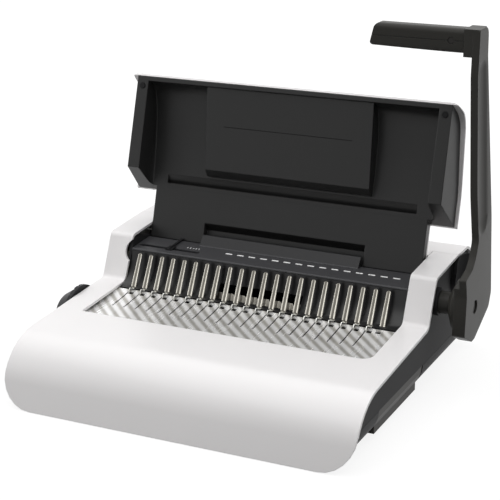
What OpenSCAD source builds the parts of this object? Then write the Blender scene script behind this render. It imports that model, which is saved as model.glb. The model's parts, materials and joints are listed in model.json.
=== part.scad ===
// Comb binding machine: a manual punch and plastic-comb opener on one lever shaft.
// Millimetres. X runs to the lever side, Y to the rear, Z up.
// The origin is the centre of the four feet, on the surface that the machine stands on.
// The lid is drawn open and the lever upright, which is the rest position of every joint.

/* [Body] */
// Full width of the white shell
body_w = 393; // [385:1:405]
// Wall of the bent white shell
shell_t = 3; // [2:0.5:4]
// Width of each arm, measured from the outside of the shell
arm_w = 29; // [27:0.5:31]
// Rise of the deck towards the rear, in degrees
deck_slope = 3.54; // [3:0.1:4]
// Height of the deck where it meets the arms
deck_z = 77.4; // [76:0.2:79]
// Height of the arm tops at the seam
arm_z = 131; // [130:0.5:133]
// Front edge of the tray opening in the deck
opening_y = -77; // [-82:1:-70]
// Wall of the moulded base and covers
base_t = 2.5; // [2:0.25:3.5]
// Height of the front feet
foot_h = 6; // [5:0.5:7]

/* [Comb] */
// Distance between neighbouring rings of the plastic comb
pitch = 14.2875; // [14.2:0.0125:14.3]
// Room beside the comb at each end
comb_room = 12; // [11:0.5:18]
// Length of a tine above its plate
tine_len = 43; // [38:1:44]
// Backward lean of the tines, in degrees
tine_lean = 27.5; // [26:0.5:29]
// Width of a tine at its foot
tine_w = 6; // [5:0.25:6.5]
// Thickness of the tine plate
tine_t = 1.6; // [1.2:0.1:2]

/* [Punch] */
// Backward lean of the paper slot, in degrees
slot_lean = 16; // [15:0.5:17]
// Width of the paper slot
slot_gap = 2.8; // [2.4:0.1:3]
// Width of one punched hole
hole_w = 8; // [7:0.25:8.5]
// Height of one punched hole
hole_h = 3; // [2.5:0.25:3.5]
// Punch travel over the whole lever stroke
punch_lift = 6; // [5.6:0.1:6]

/* [Drive] */
// Lever stroke, in degrees
lever_stroke = 80; // [70:1:80]
// Diameter of the main shaft
shaft_d = 12; // [10:0.5:12]
// Gear module of the comb opener
gear_m = 1.5; // [1.4:0.05:1.5]
// Teeth on the shaft gear
gear_teeth = 20; // [18:1:20]
// Teeth on the idler gear
idler_teeth = 12; // [12:1:12]
// Radial clearance of a running fit
run_fit = 0.05; // [0.03:0.01:0.1]
// Gap between neighbouring pieces
gap = 0.3; // [0.2:0.05:0.4]

/* [Lever] */
// Distance from the white shell to the lever's inner face
lever_gap = 26; // [24:1:30]
// Thickness of the lever
lever_t = 13.5; // [12:0.5:14.5]
// Length of the grip, beside the lever
grip_len = 97; // [85:1:105]
// Height of the grip
grip_h = 25; // [22:1:27]

/* [Lid] */
// Gap on each side between the lid's neck and the arms
neck_gap = 1.5; // [1.2:0.1:4]
// Opening angle of the lid from closed, in degrees
lid_open = 109.6; // [100:0.2:112]
// Thickness of the lid's white skin
skin_t = 2.5; // [2:0.25:3]
// Diameter of the lid's hinge pins
hinge_d = 5; // [4:0.25:5]

/* [Hidden] */
$fn = 48;

// Body
half_w = body_w / 2;
arm_in = half_w - arm_w;
cover_out = half_w - shell_t;
foot_y = 17;
face_lean = 0.443;
brow_z = 126.2;
top_rise = 0.0654;
seam_y = 111;
crest_y = 112;
tongue_y = 98;
side_z = 38;
floor_front = foot_h;
floor_step = 6;
step_y = 47;
bilge_r = 32;
shell_edge_r = 35;
front_y = -197;
// Main shaft, lid hinge and the side frames that carry them
shaft_y = 48.5;
shaft_z = 97.4;
hinge_y = 83.1;
hinge_z = 120.5;
frame_in = arm_in + 3.5;
frame_t = 2;
frame_out = frame_in + frame_t;
frame_foot = 18;
bushing_r = shaft_d / 2 + 2.5;
collar_r = shaft_d / 2 + 6;
axle_r = 3;
// Comb wall, strip and tray
under_z = hinge_z - 3.55;
strip_drop = 2.4;
strip_t = 2.2;
strip_y = 34.2;
bay = arm_in - 0.6;
tine_count = floor(2 * (arm_in - comb_room) / pitch) + 1;
tine_x0 = -(tine_count - 1) * pitch / 2 - 1.98;
tine_y = 7.2;
tine_z = 71.6;
tine_tip_r = 2.1;
plate_y1 = 24.5;
lip_y = 21.6;
lip_h = 8;
lip_lean = 20;
liner_z0 = tine_z + 1.8;
hook_count = tine_count - 1;
hook_t = 1;
tray_t = 1.2;
tray_rear = 3.2;
tray_front = -88;
wall_t = 2;
window_w = 50;
platform_w = 97;
guide_x = 43.5 - arm_in;
guide_y0 = 45;
guide_y1 = 51;
// Comb opener
gear_in = frame_out + 3;
gear_w = 5;
gear_out = gear_in + gear_w;
gear_r = gear_m * gear_teeth / 2;
idler_r = gear_m * idler_teeth / 2;
idler_z = shaft_z - gear_r - idler_r;
rack_z = idler_z - idler_r;
rack_root = rack_z - 1.25 * gear_m;
carriage_z0 = rack_root - 5;
hook_travel = gear_r * lever_stroke * PI / 180;
carriage_y = 5;
press = 25;
tooth_play = 0.07;
// Punch, measured from the shaft along the slot frame
k_cam = punch_lift / (lever_stroke * PI / 180);
cam_r0 = 7.3;
cam_x = [for (s = [-1:1]) s * (arm_in - 47.5)];
cam_w = 8;
nub_gap = 0.6;
bar_front = cam_r0 + nub_gap + 1.5;
bar_t = 3;
guide_t = 1.7;
die_t = 2;
slot_rear = bar_front + bar_t + punch_lift + gap + guide_t + slot_gap;
slot_front = slot_rear - slot_gap;
guide_s0 = -7;
guide_s1 = 11;
// Return springs of the punch bar, each between a tab of its side frame and a lug of the bar
spring_x = frame_in - 21;
spring_s = -12;
spring_r = 3.5;
anchor_d = -2;
anchor_t = 1.5;
// Knob and drawer
knob_y = -28;
knob_z = 43.6;
knob_r = 36.5;
knob_hole = 5.4;
stop_r = [8, 11, 14, 17];
drawer_y0 = -118;
drawer_y1 = 12;
drawer_z = 10.5;
drawer_h = 22;
drawer_t = 1.8;
drawer_x0 = 43.5 - cover_out;
drawer_x1 = cover_out - 15.5;
knob_x = -half_w - 1.5;
// Feet
screw_r = 2;
foot_r = 12;
foot_rear = [160, 172];
foot_front = [148, -172];
screw_places = [foot_rear, [-foot_rear[0], foot_rear[1]], foot_front, [-foot_front[0], foot_front[1]]];
// Lever and grip
lever_in = half_w + lever_gap;
lever_x = lever_in + lever_t;
web_t = 7.5;
flute_r = 42;
flute_low = [62.5, 188.5];
flute_top = [34, 347];
flute_deep = 3.4;
flute_shallow = 2.4;
hub_r = 28;
ear_x = cover_out + 15.5;
grip_y0 = 22;
grip_z0 = 366.5;
grip_d = 27;
block_x = lever_in - 3;
grip_x1 = block_x - gap;
grip_x0 = grip_x1 - grip_len + gap;
core_r = 5;
core_y = grip_y0 + grip_d / 2;
core_z = grip_z0 + grip_h / 2;
grip_screw_x = grip_x1 - 13.2;
// Lid
neck_w = 2 * (arm_in - neck_gap);
lid_front = -91.6;
lid_tail = 94;
rim_gap = 1.3;
cap_w = cover_out;
rim_w = cap_w - 5.5;
tub_w = rim_w - 13.8;
panel_w = 99.8;
recess_w = tub_w - 21.7;
bumper_x = rim_w - 7;
bumper_y = -78;
bumper_r = 3.2;

function unit(v) = v / norm(v);
function dir_angle(v) = atan2(v[1], v[0]);
function turn(a) = a > 180 ? a - 360 : (a < -180 ? a + 360 : a);
// Arc that rounds corner b between neighbours a and c
function corner(a, b, c, r, n = 8) =
  let (u = unit(a - b), v = unit(c - b), half = acos(u * v) / 2, m = b + unit(u + v) * r / sin(half))
  let (s = b + u * r / tan(half), e = b + v * r / tan(half), a0 = dir_angle(s - m))
  let (sweep = turn(dir_angle(e - m) - a0))
  [for (i = [0:n]) m + r * [cos(a0 + sweep * i / n), sin(a0 + sweep * i / n)]];
function round_path(p, r) = concat([p[0]],
  [for (i = [1:len(p) - 2]) each corner(p[i - 1], p[i], p[i + 1], r[i])], [p[len(p) - 1]]);
function closed_round(p, r) =
  let (n = len(p))
  [for (i = [0:n - 1]) each (r[i] > 0 ? corner(p[(i + n - 1) % n], p[i], p[(i + 1) % n], r[i], 6) : [p[i]])];
function right_of(v) = [v[1], -v[0]] / norm(v);
// Path moved d to its right-hand side
function inset(p, d) = [for (i = [0:len(p) - 1])
  let (a = right_of(p[max(i, 1)] - p[max(i, 1) - 1]))
  let (b = right_of(p[min(i + 1, len(p) - 1)] - p[min(i, len(p) - 2)]))
  p[i] + d * (a + b) / (1 + a * b)];
function reversed(p) = [for (i = [len(p) - 1:-1:0]) p[i]];
function deck_at(y) = deck_z + (y - foot_y) * tan(deck_slope);
function face_at(z) = foot_y + (z - deck_z) * face_lean;
function arm_top_at(y) = arm_z + (y - crest_y) * top_rise;
function strip_at(y) = under_z - strip_drop + (y - hinge_y) * top_rise;
function under_at(y) = under_z + (y - hinge_y) * top_rise;
function tine_x(i) = tine_x0 + i * pitch;
function bez(a, b, c, d, t) =
  a * pow(1 - t, 3) + 3 * b * t * pow(1 - t, 2) + 3 * c * t * t * (1 - t) + d * t * t * t;

// Outside of the white shell from the front lip over the arms to the rear foot
arm_foot = [foot_y, deck_z];
arm_brow = [face_at(brow_z), brow_z];
shell_line = round_path([[front_y, 1], [-174, deck_at(-174)], arm_foot, arm_brow, [crest_y, arm_z],
  [152, arm_z], [187, 88], [191.5, 16]], [0, 62, 8, 8, 60, 22, 40, 0]);
shell_inner = inset(shell_line, shell_t);
cover_line = inset(shell_line, shell_t + gap);
base_line = inset(shell_line, shell_t + gap + base_t);

// Front of the comb wall, from the tray up to the strip
wall_foot = [5, 73.9];
wall_head = [strip_y + 0.3, strip_at(strip_y + 0.3) - strip_t - gap];
wall_curve = [for (i = [0:14]) bez(wall_foot, [22, 76.5], [31, 90], wall_head, i / 14)];

module along_x(a, b) translate([a, 0, 0]) rotate([90, 0, 90]) linear_extrude(b - a) children();
module both_sides() { children(); mirror([1, 0, 0]) children(); }
module slot_frame() translate([0, shaft_y, shaft_z]) rotate([-slot_lean, 0, 0]) children();
module rod(x0, x1, y, z, r) translate([x0, y, z]) rotate([0, 90, 0]) cylinder(r = r, h = x1 - x0);
module block(x, y, z) translate([x[0], y[0], z[0]]) cube([x[1] - x[0], y[1] - y[0], z[1] - z[0]]);

// Front view of the body, with the rounded lower corners
module front_mask(w, low, r, inset_by = 0) {
  s = w - inset_by;
  rotate([90, 0, 0]) translate([0, 0, -220]) linear_extrude(440)
    polygon(closed_round([[-s, low + inset_by], [s, low + inset_by], [s, 160], [-s, 160]],
      [r - inset_by, r - inset_by, 0, 0]));
}

// Side view of what lies inside the shell, with the step under its rear
module inside_profile(line, lift) {
  low = floor_front + lift;
  high = low + floor_step;
  rear = line[len(line) - 1][0];
  polygon(concat(line, [[rear, high], [step_y + 6, high], [step_y, low], [line[0][0] + 2, low]]));
}

module base_housing() color("#2c2c2d") {
  difference() {
    intersection() {
      along_x(-cover_out, cover_out) inside_profile(cover_line, 0);
      front_mask(cover_out, floor_front, bilge_r);
      block([-cover_out, cover_out], [-200, 200], [floor_front, side_z]);
    }
    intersection() {
      along_x(-cover_out, cover_out) inside_profile(base_line, base_t);
      front_mask(cover_out, floor_front, bilge_r, base_t);
    }
    // Mouth of the chip drawer in the right side
    block([cover_out - 40, cover_out + 5], [drawer_y0 - gap, drawer_y1 + gap], [floor_front - 1, side_z + 1]);
    // Screw holes through the feet and the floor
    for (p = screw_places) translate([p[0], p[1], 0]) cylinder(r = screw_r + 0.3, h = 40);
  }
  // Floor ribs under the side frames
  both_sides() block([frame_in - 2, frame_out + 2], [20, 98], [floor_front + base_t + 0.7, frame_foot]);
  // Runners of the chip drawer
  for (y = [drawer_y0 + 14, drawer_y1 - 20])
    block([drawer_x0, -drawer_x0], [y, y + 6], [floor_front + base_t - 0.5, drawer_z - gap]);
}

// Cover of one side, outside the steel frame
module side_plate() intersection() {
  along_x(cover_out - base_t, cover_out) inside_profile(cover_line, 0);
  block([0, half_w], [-200, 200], [side_z + gap, 140]);
}

module right_side_cover() color("#3a3a3b") difference() {
  union() {
    side_plate();
    // Flared shoulder behind the lever shaft, with a hollow down its outer face
    difference() {
      hull() {
        rod(cover_out - 1, cover_out, 118, 104, 22);
        rod(ear_x - 2, ear_x, 117, 118, 15);
      }
      translate([ear_x + 9, 92, 60]) rotate([-14, 0, 0]) cylinder(r = 20, h = 100);
    }
    // Ridge that runs to the shaft
    difference() {
      rod(cover_out - 1, ear_x - 10, shaft_y, shaft_z, 15);
      block([cover_out - 4, ear_x], [shaft_y - 30, shaft_y + 30], [20, shaft_z - 13.4]);
    }
  }
  rod(cover_out - 10, ear_x + 20, shaft_y, shaft_z, collar_r + gap);
}

module left_side_cover() color("#3a3a3b") difference() {
  mirror([1, 0, 0]) side_plate();
  rod(-cover_out - 5, -cover_out + 10, knob_y, knob_z, knob_hole);
}

module shell_mask() front_mask(half_w, 1, shell_edge_r);

module top_shell() color("#f2f2f3") difference() {
  intersection() {
    along_x(-half_w, half_w) polygon(concat(shell_line, reversed(shell_inner)));
    shell_mask();
    block([-half_w, half_w], [-210, seam_y], [0, 140]);
  }
  // Opening over the tray, with one round corner
  translate([0, 0, 40]) linear_extrude(100)
    polygon(closed_round([[-arm_in, opening_y], [arm_in, opening_y], [arm_in, 200], [-arm_in, 200]],
      [2, 12, 0, 0]));
  // Finger scallop in the inner edge of the left arm
  translate([-arm_in + 7.5, 0, 109]) rotate([-90, 0, 0]) cylinder(r = 13.5, h = 60);
}

module rear_cover() color("#f2f2f3") difference() {
  intersection() {
    along_x(-half_w, half_w) polygon(concat(shell_line, reversed(shell_inner)));
    block([-half_w, half_w], [tongue_y, 210], [16, 140]);
    front_mask(half_w, -10, shell_edge_r);
  }
  // The arms stop at the seam; the tongue runs on behind the lid
  both_sides() block([arm_in - 0.6, half_w + 1], [tongue_y - 1, seam_y + 0.25], [100, 140]);
}

module arm_liners() color("#2b2b2c") both_sides() {
  lift = [for (p = cover_line) if (p[0] > 12 && p[0] < seam_y - 2) p];
  difference() {
    along_x(arm_in - gap, frame_in - gap)
      polygon(concat([[12, liner_z0]], lift,
        [[seam_y - 2, 108], [60, 105.6], [38, 104.2], [31, 84], [22, liner_z0]]));
    rod(arm_in - 5, arm_in + 8, hinge_y, hinge_z, hinge_d / 2 + gap);
  }
}

module comb_wall() color("#151516") difference() {
  union() {
    along_x(-bay, bay) polygon(concat(wall_curve, reversed(inset(wall_curve, wall_t))));
    // Thin upright ribs on the front of the wall
    for (x = [-136, -50, 56, 122]) along_x(x - 0.75, x + 0.75)
      polygon(concat([for (i = [5:13]) wall_curve[i] - [1.2, 0]],
        [for (i = [13:-1:5]) wall_curve[i] + [0.6, 0]]));
  }
  // Window on the middle of the comb
  block([-window_w, window_w], [6, 45], [74.6, 88]);
  // Slots for the tines
  for (i = [0:tine_count - 1]) translate([tine_x(i), tine_y, tine_z - 0.8]) rotate([-tine_lean, 0, 0])
    translate([-tine_w / 2 - gap, -gap, -2]) cube([tine_w + 2 * gap, tine_t + 2 * gap, 14]);
}

// Point on the front wall of the paper slot, s above the shaft
function slot_at(s) = [shaft_y + slot_front * cos(slot_lean) + s * sin(slot_lean),
  shaft_z - slot_front * sin(slot_lean) + s * cos(slot_lean)];
ridge = slot_at(34.1);

module top_strip() color("#55565a") difference() {
  union() {
    rear_top = slot_at(23.2);
    rear_low = slot_at(guide_s1 + 1.2);
    front = strip_at(strip_y);
    along_x(-bay, bay) polygon(closed_round([[strip_y, front - strip_t], [strip_y, front],
      rear_top, rear_low, rear_low - [1.8, 0], rear_top - [2.6, 2.5], [56, strip_at(56) - strip_t]],
      [0, 1.6, 0, 0, 0, 0, 0]));
    // Raised platform in front of the paper slot
    along_x(-platform_w, platform_w) polygon([[67, strip_at(67) - 0.5], ridge - [1.2, 0.2], ridge,
      slot_at(20), slot_at(20) - [6, 0]]);
  }
  // Slot of the edge guide, with round ends
  block([guide_x - 38, guide_x + 34], [guide_y0, guide_y1], [100, 125]);
  for (x = [guide_x - 38, guide_x + 34])
    translate([x, (guide_y0 + guide_y1) / 2, 100]) cylinder(d = guide_y1 - guide_y0, h = 25);
}

module edge_guide() color("#303031") {
  mid_y = (guide_y0 + guide_y1) / 2;
  // Saddle on top with a thin fin, stem in the slot and foot below the strip
  along_x(guide_x - 4, guide_x + 4) polygon([[42, strip_at(42) + gap], [54, strip_at(54) + gap],
    [54, strip_at(54) + 1.3], [42, strip_at(42) + 1.3]]);
  along_x(guide_x - 0.7, guide_x + 0.7) polygon([[42, strip_at(42) + 1], [54, strip_at(54) + 1],
    [53, strip_at(53) + 2.1], [43, strip_at(43) + 2.1]]);
  top = strip_at(mid_y);
  block([guide_x - 3, guide_x + 3], [guide_y0 + gap, guide_y1 - gap], [top - 4.5, top + 1]);
  block([guide_x - 4, guide_x + 4], [41, 53], [top - 6, top - 3.2]);
  // Finger that runs back and down into the paper slot
  head = slot_at(24.5);
  along_x(guide_x - 1.5, guide_x + 1.5) polygon([[53, strip_at(53) + 0.9], [74, strip_at(74) + 0.9],
    head + [0.6, 0], slot_at(10) + [0.6, 0], slot_at(10) + [1.9, 0], head + [2.1, 0.8],
    [74, strip_at(74) + 2], [53, strip_at(53) + 2]]);
}

tray_line = [for (i = [0:12]) bez([tray_front, 67.1], [-60, 65.2], [-24, 67.6], [tray_rear, 73], i / 12)];
module binding_tray() color("#c9c9c6") difference() {
  union() {
    along_x(gap - frame_in, frame_in - gap) polygon(concat(tray_line, reversed(inset(tray_line, tray_t))));
    // Turned-down front edge
    block([gap - frame_in, frame_in - gap], [tray_front, tray_front + tray_t], [60, 66.8]);
  }
  for (i = [0:hook_count - 1]) {
    block([tine_x(i) - 0.8, tine_x(i) + 0.8], [-38.9, 10], [60, 80]);
    block([tine_x(i) + 1.8, tine_x(i) + 7.2], [-6.4, -1.1], [60, 80]);
  }
  // Hole of the last tine, which has no hook
  block([tine_x(tine_count - 1) - 3, tine_x(tine_count - 1) + 3], [-5, -1.1], [60, 80]);
  for (i = [10, 15]) block([tine_x(i) - 2.6, tine_x(i) + 2.6], [-37.4, -36.2], [60, 80]);
}

module tine_shape() polygon(concat([[-tine_w / 2, 0]],
  [for (a = [180:-20:0]) tine_tip_r * [cos(a), sin(a)] + [0, tine_len - tine_tip_r]], [[tine_w / 2, 0]]));
// Lip turned up behind the window, with a notch between every two tines
module notched_lip() translate([0, lip_y, tine_z - 0.6]) rotate([-lip_lean, 0, 0]) rotate([90, 0, 0])
  translate([0, 0, -tine_t]) linear_extrude(tine_t) polygon(concat([[tine_x(0) - 6, 0]],
    [for (i = [0:tine_count - 1]) each [[tine_x(i) - 4.4, lip_h], [tine_x(i) + 4.4, lip_h],
      [tine_x(i) + pitch / 2, i < tine_count - 1 ? lip_h - 4 : 0]]]));
module comb_tines() color("#8f8c83") {
  notched_lip();
  for (i = [0:tine_count - 1]) translate([tine_x(i), tine_y, tine_z - 0.8]) rotate([-tine_lean, 0, 0])
    rotate([90, 0, 0]) translate([0, 0, -tine_t]) linear_extrude(tine_t) tine_shape();
  // Plate that carries the tines below the wall
  difference() {
    block([-frame_in + 0.15, frame_in - 0.15], [tine_y - 0.4, plate_y1], [tine_z - tine_t, tine_z]);
    for (i = [0:tine_count - 2])
      translate([tine_x(i) + pitch / 2, 0, 0]) block([-1.5, 1.5], [5, 12], [60, 80]);
  }
}

module hole_row(clear, d0, d1) for (i = [0:hook_count - 1])
  translate([tine_x(i) + pitch / 2 - hole_w / 2 - clear, d0, -hole_h / 2 - clear])
    cube([hole_w + 2 * clear, d1 - d0, hole_h + 2 * clear]);
module guide_plate() color("#9a9a98") slot_frame() difference() {
  block([-frame_in + 0.15, frame_in - 0.15], [slot_front - guide_t, slot_front], [guide_s0, guide_s1]);
  hole_row(0.15, slot_front - 5, slot_front + 5);
}
module die_plate() color("#9a9a98") slot_frame() difference() {
  block([-frame_in + 0.15, frame_in - 0.15], [slot_rear, slot_rear + die_t], [guide_s0, 14]);
  hole_row(0.08, slot_rear - 5, slot_rear + 5);
}
module paper_stop() color("#8a8a88") slot_frame()
  block([-frame_in + 0.15, frame_in - 0.15], [slot_front, slot_rear], [guide_s0, -4.3]);
module punch_pins() color("#b5b5b2") slot_frame() for (i = [0:hook_count - 1])
  translate([tine_x(i) + pitch / 2 - hole_w / 2, bar_front + bar_t, -hole_h / 2])
    cube([hole_w, slot_front - 0.4 - bar_front - bar_t, hole_h]);
module punch_bar() color("#7d7d7b") slot_frame() {
  block([13 - frame_in, frame_in - 13], [bar_front, bar_front + bar_t], [-6, 6]);
  // Lugs of the return springs
  both_sides() block([spring_x - 4, spring_x + 4], [bar_front, bar_front + bar_t], [spring_s - 4, -5]);
  // Rubbing nubs that face the cams
  for (x = cam_x) difference() {
    union() {
      rod(x - 5, x + 5, cam_r0 + nub_gap + 2, 0, 2);
      block([x - 5, x + 5], [cam_r0 + nub_gap + 1.2, bar_front], [-2, 2]);
    }
    block([x - 6, x + 6], [bar_front, bar_front + 20], [-4, 4]);
  }
}

module side_frames() color("#8d8f90") both_sides() difference() {
  union() {
    along_x(frame_in, frame_out) polygon([[-92, 60], [-92, 42], [18, 42], [18, frame_foot], [98, frame_foot],
      [106, 60], [106, 122], [62, 122], [46, 113], [28.5, 82], [22, 73.2], [13, 73.2], [13, 54],
      [-34, 54], [-34, 61]]);
    // Tab that holds the return spring
    slot_frame()
      block([spring_x - 5, frame_in + 1], [anchor_d - anchor_t, anchor_d], [spring_s - 4, spring_s + 4]);
  }
  rod(frame_in - 1, frame_out + 1, shaft_y, shaft_z, bushing_r);
  rod(frame_in - 1, frame_out + 1, hinge_y, hinge_z, hinge_d / 2 + run_fit);
  rod(frame_in - 1, frame_out + 1, shaft_y, idler_z, axle_r + run_fit);
}
module shaft_bushings() color("#d8d4c4") both_sides() difference() {
  union() {
    rod(frame_in, frame_out + 0.6, shaft_y, shaft_z, bushing_r - run_fit);
    rod(frame_out, frame_out + 2, shaft_y, shaft_z, bushing_r + 2);
  }
  rod(frame_in - 1, frame_out + 9, shaft_y, shaft_z, shaft_d / 2 + run_fit);
}
module idler_axles() color("#b0b0ad") both_sides() {
  rod(frame_in, gear_out + 2.2, shaft_y, idler_z, axle_r);
  rod(gear_out + 0.4, gear_out + 1.8, shaft_y, idler_z, axle_r + 2);
}
module hinge_pins() color("#b0b0ad") both_sides()
  rod(neck_w / 2 - 10, frame_out, hinge_y, hinge_z, hinge_d / 2);

module hook_guides() color("#d8d4c4") both_sides() difference() {
  block([frame_out, gear_out + 3], [16, 34], [46, rack_root - 0.6]);
  block([gear_in - gap, gear_out + gap], [10, 40], [carriage_z0 - gap, 90]);
}

// Return springs of the punch bar
module punch_springs() color("#a8a8a5") both_sides() slot_frame() difference() {
  len = bar_front - gap - anchor_d;
  turns = 6;
  translate([spring_x, anchor_d, spring_s]) rotate([-90, 0, 0]) union() {
    cylinder(r = spring_r - 0.5, h = len);
    for (i = [0:turns]) translate([0, 0, i * (len - 0.8) / turns]) cylinder(r = spring_r, h = 0.8);
  }
  translate([spring_x, anchor_d - 1, spring_s]) rotate([-90, 0, 0]) cylinder(r = spring_r - 1.2, h = 40);
}

module chip_chute() color("#2f2f30")
  along_x(gap - frame_in, frame_in - gap)
    polygon([[88, 90], [90, 90], [90, 86], [22, 37.5], [20, 37.5], [20, 39.5]]);

module rubber_feet() color("#111112") for (p = screw_places) translate([p[0], p[1], 0]) {
  h = p[1] > 0 ? floor_front + floor_step : floor_front;
  difference() {
    union() {
      cylinder(r = foot_r, h = h - 2);
      cylinder(r = foot_r - 1.2, h = h);
    }
    translate([0, 0, -1]) cylinder(r = 5, h = 3.5);
    cylinder(r = screw_r + 0.3, h = 40);
  }
}
module base_screws() color("#8d8f90") for (p = screw_places) translate([p[0], p[1], 0]) {
  h = p[1] > 0 ? floor_front + floor_step : floor_front;
  translate([0, 0, 1.1]) cylinder(r = 3.6, h = 1.2);
  translate([0, 0, 2]) cylinder(r = screw_r, h = h + 8);
}

// Lever: thick paddle at the shaft, thin fluted arm and the corner block that holds the grip
lever_outline = closed_round([[15, 74], [42, 60.5], [52, 61], [100, 81.5], [107, 96], [99, 150], [94, 185],
  [51, 362], [49, grip_z0 + grip_h], [grip_y0 - 1.5, grip_z0 + grip_h], [19, 345], [37, 220], [51, 168],
  [42, 151], [33, 142.5], [11.5, 137], [17, 118]], [4, 6, 8, 9, 12, 60, 60, 30, 9, 2, 60, 200, 12, 20, 12, 2, 20]);
module lever_arm() color("#3e3d3b") difference() {
  union() {
    // Thin outer wall over the whole length
    along_x(lever_x - web_t, lever_x) polygon(lever_outline);
    // Thick ends of the lever: the paddle and the block beside the grip
    intersection() {
      along_x(lever_in, lever_x) polygon(lever_outline);
      along_x(lever_in, lever_x)
        polygon([[0, 50], [120, 50], [120, 141], [78, 137], [56, 131], [36, 129.5], [0, 124]]);
    }
    block([block_x, lever_x - 2], [grip_y0 - 1.5, grip_y0 + grip_d - 1], [grip_z0 - 2.5, grip_z0 + grip_h]);
    // Flared hub and its collar
    rod(lever_in - 5, lever_in + 1, shaft_y, shaft_z, hub_r);
    translate([lever_in - 12, shaft_y, shaft_z]) rotate([0, 90, 0])
      cylinder(r1 = collar_r + 2, r2 = hub_r, h = 7);
    rod(cover_out + 4, lever_in - 7, shaft_y, shaft_z, collar_r);
  }
  // Bore of the shaft and the recess of its screw
  rod(cover_out, lever_x - 5, shaft_y, shaft_z, shaft_d / 2 + run_fit);
  rod(lever_x - 4, lever_x + 1, shaft_y, shaft_z, 7.5);
  rod(lever_x - 10, lever_x + 1, shaft_y, shaft_z, screw_r + 0.6);
  // Long flute down the outer face
  flute();
  // Socket of the steel core
  rod(block_x - 1, lever_x - 5, core_y, core_z, core_r + run_fit);
}
// Round-ended groove, deeper towards the shaft
module flute() {
  low = [lever_x + flute_r - flute_deep, flute_low[0], flute_low[1]];
  top = [lever_x + flute_r - flute_shallow, flute_top[0], flute_top[1]];
  run = top - low;
  translate(low) rotate([0, acos(run[2] / norm(run)), atan2(run[1], run[0])]) {
    cylinder(r = flute_r, h = norm(run), $fn = 96);
    sphere(r = flute_r, $fn = 96);
    translate([0, 0, norm(run)]) sphere(r = flute_r, $fn = 96);
  }
}
module grip_body() difference() {
  translate([0, grip_y0 + grip_d, 0]) rotate([90, 0, 0]) linear_extrude(grip_d)
    polygon(closed_round([[grip_x0 - 2, grip_z0 + 2.5], [grip_x1, grip_z0], [grip_x1, grip_z0 + grip_h],
      [grip_x0 + 3.5, grip_z0 + grip_h]], [3, 0, 0, 6]));
  rod(grip_x0 + 12, grip_x1 + 1, core_y, core_z, core_r + run_fit);
  translate([grip_screw_x, grip_y0 - 1, core_z]) rotate([-90, 0, 0]) cylinder(r = 3.4, h = 3);
  translate([grip_screw_x, grip_y0 - 1, core_z]) rotate([-90, 0, 0]) cylinder(r = 1.9, h = 9);
}
module grip_section() along_x(grip_x0 - 5, grip_x1 + 5)
  polygon(closed_round([[grip_y0, grip_z0], [grip_y0 + grip_d, grip_z0 + 1],
    [grip_y0 + grip_d, grip_z0 + grip_h - 1], [grip_y0, grip_z0 + grip_h]], [6, 9, 9, 6]));
module grip_upper_half() color("#3e3d3b") intersection() {
  grip_body();
  grip_section();
  block([grip_x0 - 5, grip_x1 + 5], [0, 80], [core_z + 0.15, core_z + 40]);
}
module grip_lower_half() color("#383735") intersection() {
  grip_body();
  grip_section();
  block([grip_x0 - 5, grip_x1 + 5], [0, 80], [core_z - 40, core_z - 0.15]);
}
module grip_core() color("#9a9a98") rod(grip_x0 + 12.5, lever_x - 5.2, core_y, core_z, core_r);
module grip_screw() color("#8d8f90") translate([grip_screw_x, grip_y0, core_z]) rotate([-90, 0, 0]) {
  translate([0, 0, 0.6]) cylinder(r = 3.1, h = 1.4);
  translate([0, 0, 1]) cylinder(r = 1.6, h = 6.5);
}
module main_shaft() color("#a5a5a3") difference() {
  rod(-gear_out - 2, lever_x - 5.2, shaft_y, shaft_z, shaft_d / 2);
  rod(lever_x - 16, lever_x, shaft_y, shaft_z, screw_r + run_fit);
}
module lever_screw() color("#6f6f6e") {
  rod(lever_x - 3.9, lever_x - 1.6, shaft_y, shaft_z, 5.5);
  rod(lever_x - 15, lever_x - 3, shaft_y, shaft_z, screw_r);
}

// Spiral cam whose radius grows by the punch travel over the lever stroke
function cam_r(a) = a > 0 ? cam_r0 : cam_r0 - k_cam * a * PI / 180;
module punch_cams() color("#7d7d7b") slot_frame() for (x = cam_x) difference() {
  along_x(x - cam_w / 2, x + cam_w / 2)
    polygon([for (a = [-lever_stroke - 12:4:260 - lever_stroke]) cam_r(a) * [cos(a), sin(a)]]);
  rod(x - cam_w, x + cam_w, 0, 0, shaft_d / 2 + run_fit);
}

// Involute gear outline with one tooth on the +X axis when first is 0
function inv_deg(a) = tan(a) * 180 / PI - a;
function tooth_half(r, n) = let (rp = gear_m * n / 2)
  90 / n - tooth_play / rp * 180 / PI + inv_deg(press) - inv_deg(acos(min(1, rp * cos(press) / r)));
function gear_points(n, first) =
  let (rp = gear_m * n / 2, rr = rp - 1.25 * gear_m, ro = rp + gear_m)
  let (rs = max(rp * cos(press), rr) + 0.01)
  let (flank = [for (i = [0:4]) rs + (ro - rs) * i / 4])
  [for (t = [0:n - 1]) let (c = first + t * 360 / n) each concat(
    [rr * [cos(c - tooth_half(rs, n)), sin(c - tooth_half(rs, n))]],
    [for (r = flank) r * [cos(c - tooth_half(r, n)), sin(c - tooth_half(r, n))]],
    [for (r = reversed(flank)) r * [cos(c + tooth_half(r, n)), sin(c + tooth_half(r, n))]],
    [rr * [cos(c + tooth_half(rs, n)), sin(c + tooth_half(rs, n))]])];
module gear(n, first, bore, y, z) both_sides() difference() {
  along_x(gear_in, gear_out) translate([y, z]) polygon(gear_points(n, first));
  rod(gear_in - 1, gear_out + 1, y, z, bore);
}
module opener_gears() color("#d8d4c4") gear(gear_teeth, 270, shaft_d / 2 + run_fit, shaft_y, shaft_z);
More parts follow.
